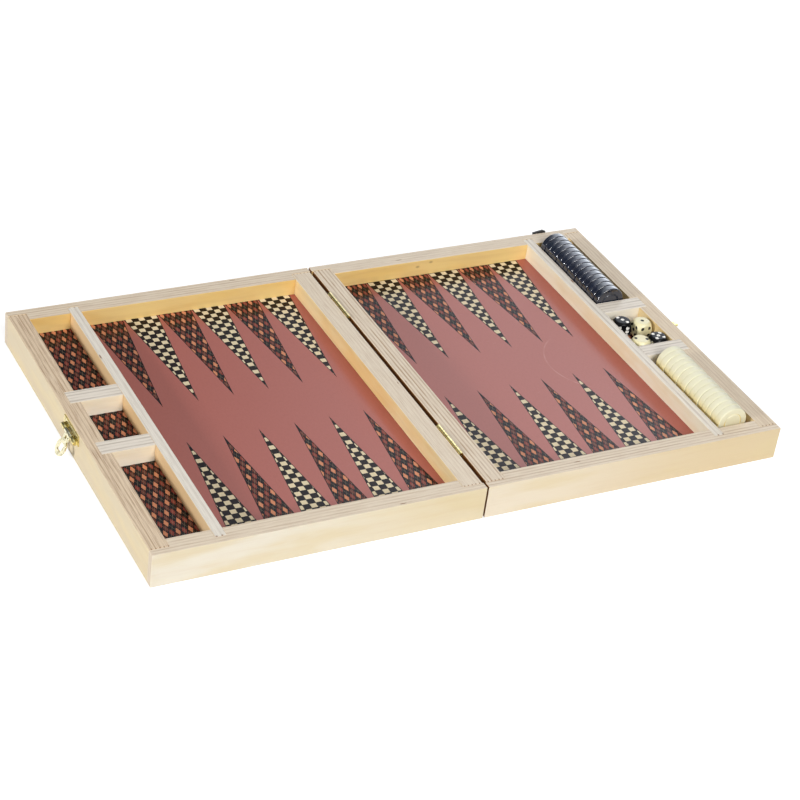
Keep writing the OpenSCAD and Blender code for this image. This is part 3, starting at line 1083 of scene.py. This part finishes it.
@dataclass
class Dice:
    """Four round-cornered dice with drilled and painted pips."""

    size: float = 13.5
    ball: float = 8.7
    step: float = 3.2
    pip: float = 2.9
    pip_depth: float = 0.45
    voxel: float = 0.3
    places: Sequence[DiePlace] = (
        DiePlace("black_die_1", 3, 162), DiePlace("black_die_2", 5, 0),
        DiePlace("ivory_die_1", 1, 1), DiePlace("ivory_die_2", 2, 20),
    )

    @staticmethod
    def _marks(value: int) -> list[tuple[int, int]]:
        """Pip places on a face, in steps from its middle.

        Args:
            value: Number of pips.

        Returns:
            Steps along the face's two directions, one pair for each pip.
        """
        marks = [(0, 0)] if value % 2 else []
        if value > 1:
            marks += [(1, -1), (-1, 1)]
        if value > 3:
            marks += [(1, 1), (-1, -1)]
        if value == 6:
            marks += [(1, 0), (-1, 0)]
        return marks

    @staticmethod
    def _face_up(value: int) -> Matrix:
        """Turn that brings a value's face to the top.

        Args:
            value: Number of pips on the face.

        Returns:
            The rotation.
        """
        turns = {1: ("X", 0), 2: ("Y", -90), 3: ("X", 90), 4: ("X", -90), 5: ("Y", 90), 6: ("X", 180)}
        axis, degrees = turns[value]
        return Matrix.Rotation(math.radians(degrees), 4, axis)

    def _pip_ball(self) -> float:
        """Radius of the ball that cuts a pip, in millimetres."""
        return ((self.pip / 2) ** 2 + self.pip_depth ** 2) / (2 * self.pip_depth)

    def _pip_centres(self) -> list[Vector]:
        """Middles of the balls that cut the pips.

        Returns:
            One point for each pip, in metres.
        """
        height = self.size / 2 - self.pip_depth + self._pip_ball()
        return [self._face_up(value).inverted() @ Vector((a * self.step, b * self.step, height)) * MM
                for value in range(1, 7) for a, b in self._marks(value)]

    def _cutter(self, centres: Iterable[Vector]) -> bpy.types.Object:
        """One object of balls at the given places.

        Args:
            centres: Middles of the balls.

        Returns:
            The joined balls.
        """
        Bench.clear()
        balls = []
        for centre in centres:
            bpy.ops.mesh.primitive_uv_sphere_add(
                segments=32, ring_count=24, radius=self._pip_ball() * MM, location=centre)
            balls.append(bpy.context.active_object)
        for ball in balls:
            ball.select_set(True)
        bpy.ops.object.join()
        return bpy.context.active_object

    def _pattern(self) -> bpy.types.Object:
        """Cut a cube with a ball, round it and drill its pips.

        Returns:
            The die with the one on top, at the origin; its second material slot is the pips'.
        """
        Bench.clear()
        bpy.ops.mesh.primitive_cube_add(size=self.size * MM)
        made = bpy.context.active_object
        made.name = "die_pattern"
        bpy.ops.mesh.primitive_uv_sphere_add(segments=96, ring_count=64, radius=self.ball * MM)
        ball = bpy.context.active_object
        Bench.apply(made, "BOOLEAN", operation="INTERSECT", object=ball, solver="EXACT")
        Bench.apply(made, "REMESH", mode="VOXEL", voxel_size=self.voxel * MM)
        Bench.apply(made, "SMOOTH", factor=0.5, iterations=10)
        centres = self._pip_centres()
        cutter = self._cutter(centres)
        Bench.apply(made, "BOOLEAN", operation="DIFFERENCE", object=cutter, solver="EXACT")
        Bench.drop(ball, cutter)
        reach = self._pip_ball() * MM
        made.data.materials.append(None)
        made.data.materials.append(None)
        for face in made.data.polygons:
            rim = [made.data.vertices[i].co for i in face.vertices]
            face.material_index = int(any(all(abs((co - centre).length - reach) < 2e-5 for co in rim)
                                          for centre in centres))
        Bench.smooth(made, 28)
        return made

    def build(self) -> None:
        """Copy the die to its four places."""
        pattern = self._pattern()
        black = Plastic("black_die_gloss", paint(15, 15, 17), paint(21, 21, 24), 0.16, 0.12).material()
        ivory = Plastic("ivory_die_gloss", paint(238, 229, 186), paint(231, 220, 172), 0.26).material()
        white_pip = Plastic("white_pip_paint", paint(246, 244, 238), paint(236, 233, 225), 0.4).material()
        black_pip = Plastic("black_pip_paint", paint(22, 20, 19), paint(34, 31, 29), 0.4).material()
        finishes = {"black": (black, white_pip), "ivory": (ivory, black_pip)}
        for place in self.places:
            low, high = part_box(place.node)
            turn = Matrix.Rotation(math.radians(place.turn), 4, "Z")
            piece = Bench.copy(pattern, f"cast_{place.node}",
                               Matrix.Translation((low + high) / 2) @ turn @ self._face_up(place.top))
            tint = place.node.split("_")[0]
            for index, finish in enumerate(finishes[tint]):
                piece.data.materials[index] = finish
            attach(piece, place.node)
            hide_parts(place.node)
            LOG.info("%s: stands for %s", piece.name, place.node)
        Bench.drop(pattern)


@dataclass
class PullTab:
    """Leather tab on the back rail of the right-hand tray."""

    node: str = "pull_tab"
    body: str = "right_tray"
    corner: float = 2.2
    rounding: float = 0.35
    low_share: float = 0.3
    lean: float = 0.5
    thick: float = 1.8

    def build(self) -> None:
        """Shape the tab from a block, with a slanted top, round corners and softened edges."""
        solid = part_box(self.node)
        low, high = solid[0] / MM, solid[1] / MM
        back, bend = low.y, RIM_Z - self.lean
        Bench.clear()
        bpy.ops.mesh.primitive_cube_add(size=1.0)
        made = bpy.context.active_object
        made.name = "leather_pull_tab"
        centre = Vector((low.x + high.x, 2 * back + self.thick, low.z + bend)) / 2
        block = Vector((high.x - low.x, self.thick, bend - low.z))
        made.data.transform(Matrix.Translation(centre * MM) @ Matrix.Diagonal(block * MM).to_4x4())
        top = bend * MM
        for height, slide in ((self.lean, self.lean), (high.z - RIM_Z, 0.0)):
            level = top
            Bench.pick(made, "FACE", lambda face: face.normal.z > 0.9 and abs(face.center.z - level) < 1e-6)
            bpy.ops.mesh.extrude_region_move(TRANSFORM_OT_translate={"value": (0, slide * MM, height * MM)})
            bpy.ops.object.mode_set(mode="OBJECT")
            top += height * MM

        def corner(edge: bpy.types.MeshEdge) -> bool:
            """True for the two lower edges that become round corners, seen from the back."""
            ends = [made.data.vertices[i].co for i in edge.vertices]
            level = abs(ends[0].z - ends[1].z) < 1e-7 and abs(ends[0].x - ends[1].x) < 1e-7
            return level and ends[0].z < (low.z + 0.01) * MM

        middle = (low.x + high.x) / 2
        peak = Vector((middle + (high.x - low.x) / 4, back, high.z))
        for side in (low.x, high.x):
            slope = Vector((side, back, RIM_Z + self.low_share * (high.z - RIM_Z))) - peak
            tilt = Vector((-slope.z, 0, slope.x)) * (1 if slope.x > 0 else -1)
            Bench.pick(made, "FACE", lambda face: True)
            bpy.ops.mesh.bisect(
                plane_co=peak * MM, plane_no=tilt.normalized(), use_fill=True, clear_outer=True)
            bpy.ops.object.mode_set(mode="OBJECT")
        Bench.pick(made, "EDGE", corner)
        bpy.ops.mesh.bevel(offset=self.corner * MM, segments=6, profile=0.5, affect="EDGES")
        bpy.ops.object.mode_set(mode="OBJECT")
        Bench.apply(made, "BEVEL", width=self.rounding * MM, segments=3, limit_method="ANGLE",
                    angle_limit=math.radians(50))
        Bench.smooth(made, 35)
        dress(made, Leather().material())
        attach(made, self.body)
        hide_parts(self.node)
        LOG.info("%s: stands for %s", made.name, self.node)


@dataclass(frozen=True)
class Lamp:
    """A square area lamp that looks at the board: its place in metres, its side and its watts."""

    name: str
    place: tuple[float, float, float]
    size: float
    power: float

    def hang(self) -> None:
        """Put the lamp in the scene."""
        data = bpy.data.lights.new(self.name, "AREA")
        data.size = self.size
        data.energy = self.power
        lamp = bpy.data.objects.new(self.name, data)
        place = Vector(self.place)
        lamp.matrix_world = Matrix.Translation(place) @ place.to_track_quat("Z", "Y").to_matrix().to_4x4()
        bpy.context.scene.collection.objects.link(lamp)


@dataclass
class Studio:
    """White floor, soft light and the camera at the photograph's angle."""

    azimuth: float = -30.723
    elevation: float = 33.600
    roll: float = -7.993
    offset: tuple[float, float, float] = (-0.008758, -0.000370, 1.599829)
    lens: float = 97.83
    ambient: float = 0.3
    floor_size: float = 9.0
    floor_drop: float = 0.0003
    floor_glow: float = 0.72
    card_size: float = 2.6
    card_place: tuple[float, float, float] = (0.5, 1.0, 1.3)
    card_tint: Rgb = (0.94, 1.0, 1.1)
    lamps: Sequence[Lamp] = (
        Lamp("front_softbox", (0.1, -3.74, 3.0), 2.4, 176.0),
        Lamp("side_lamp", (-2.85, -0.2, 0.9), 0.36, 49.0),
    )

    def _camera(self) -> None:
        """Place the camera where it sees the board as the photograph does."""
        turn, lift, tilt = (math.radians(angle) for angle in (self.azimuth, self.elevation, self.roll))
        back = Vector((math.sin(turn) * math.cos(lift), -math.cos(turn) * math.cos(lift), math.sin(lift)))
        right = (-back).cross(Vector((0, 0, 1))).normalized()
        down = (-back).cross(right)
        across = math.cos(tilt) * right + math.sin(tilt) * down
        below = math.cos(tilt) * down - math.sin(tilt) * right
        place = -(across * self.offset[0] + below * self.offset[1] - back * self.offset[2])
        data = bpy.data.cameras.new("photo_camera")
        data.lens = self.lens
        data.sensor_width = 36.0
        camera = bpy.data.objects.new("photo_camera", data)
        camera.matrix_world = Matrix.Translation(place) @ Matrix((across, -below, back)).transposed().to_4x4()
        bpy.context.scene.collection.objects.link(camera)
        bpy.context.scene.camera = camera

    def _floor(self) -> None:
        """Lay a white floor that keeps soft shadows."""
        Bench.clear()
        bpy.ops.mesh.primitive_plane_add(size=self.floor_size, location=(0, 0, -self.floor_drop))
        floor = bpy.context.active_object
        floor.name = "studio_floor"
        material, graph, shader = new_material("studio_floor")
        shader.inputs["Base Color"].default_value = (0.5, 0.5, 0.5, 1.0)
        shader.inputs["Roughness"].default_value = 0.9
        glow = graph.node("Emission")
        rays = graph.node("LightPath")
        kinds = ("Is Camera Ray", "Is Glossy Ray", "Is Transmission Ray")
        seen = graph.least(graph.add(*[rays.outputs[kind] for kind in kinds]), 1.0)
        graph.feed(glow.inputs["Strength"], graph.times(seen, self.floor_glow))
        both = graph.node("AddShader")
        graph.feed(both.inputs[0], shader.outputs[0])
        graph.feed(both.inputs[1], glow.outputs[0])
        graph.surface(both.outputs[0])
        dress(floor, material)

    def _world(self) -> None:
        """Surround the board with white: plain light, and a dimmer room in the mirror of glossy surfaces."""
        world = bpy.data.worlds.new("studio_white")
        world.use_nodes = True
        bpy.context.scene.world = world
        graph = Graph(world.node_tree)
        rays = graph.node("LightPath")
        height = graph.split(graph.node("TexCoord").outputs["Generated"])[2]
        mirrored = graph.fade(height, 0.6, 0.9, 0.4, 1.0)
        kinds = ("Is Camera Ray", "Is Transmission Ray")
        seen = graph.least(graph.add(*[rays.outputs[kind] for kind in kinds]), 1.0)
        glossy = rays.outputs["Is Glossy Ray"]
        plain = graph.times(self.ambient, graph.minus(1.0, graph.most(seen, glossy)))
        backdrop = graph.node("Background")
        graph.feed(backdrop.inputs["Strength"], graph.add(plain, seen, graph.times(glossy, mirrored)))
        output = graph.node("ShaderNodeOutputWorld")
        graph.feed(output.inputs["Surface"], backdrop.outputs[0])

    def _card(self) -> None:
        """Stand a bright card behind the board, brighter towards the right, for glossy surfaces to mirror."""
        Bench.clear()
        bpy.ops.mesh.primitive_plane_add(
            size=self.card_size, location=self.card_place, rotation=(math.pi / 2, 0, 0))
        card = bpy.context.active_object
        card.name = "studio_card"
        material, graph, _ = new_material("studio_card")
        side, _, height = graph.split(graph.node("NewGeometry").outputs["Position"])
        glow = graph.node("Emission")
        glow.inputs["Color"].default_value = (*self.card_tint, 1.0)
        bright = graph.add(graph.fade(side, -0.6, 0.1, 0.1, 0.35), graph.fade(side, 0.12, 0.78, 0.0, 1.6),
                           graph.fade(height, 0.85, 1.05, 0.0, 0.6), graph.fade(side, 0.8, 1.1, 0.0, 0.8))
        graph.feed(glow.inputs["Strength"], graph.times(bright, graph.fade(side, 1.2, 1.75, 1.0, 0.2)))
        graph.surface(glow.outputs[0])
        dress(card, material)
        for ray in ("camera", "diffuse", "transmission", "volume_scatter", "shadow"):
            setattr(card, f"visible_{ray}", False)

    def build(self) -> None:
        """Set up everything around the object."""
        self._camera()
        self._floor()
        self._world()
        self._card()
        for lamp in self.lamps:
            lamp.hang()
        bpy.context.scene.view_settings.view_transform = "Standard"


def main() -> None:
    """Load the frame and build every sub-assembly."""
    logging.basicConfig(level=logging.INFO, format="%(name)s: %(message)s")
    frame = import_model()
    Studio().build()
    Trays(frame["nodes"]).build()
    Fittings(frame["nodes"]).build()
    Checkers().build()
    Dice().build()
    PullTab().build()


if __name__ == "__main__":
    main()
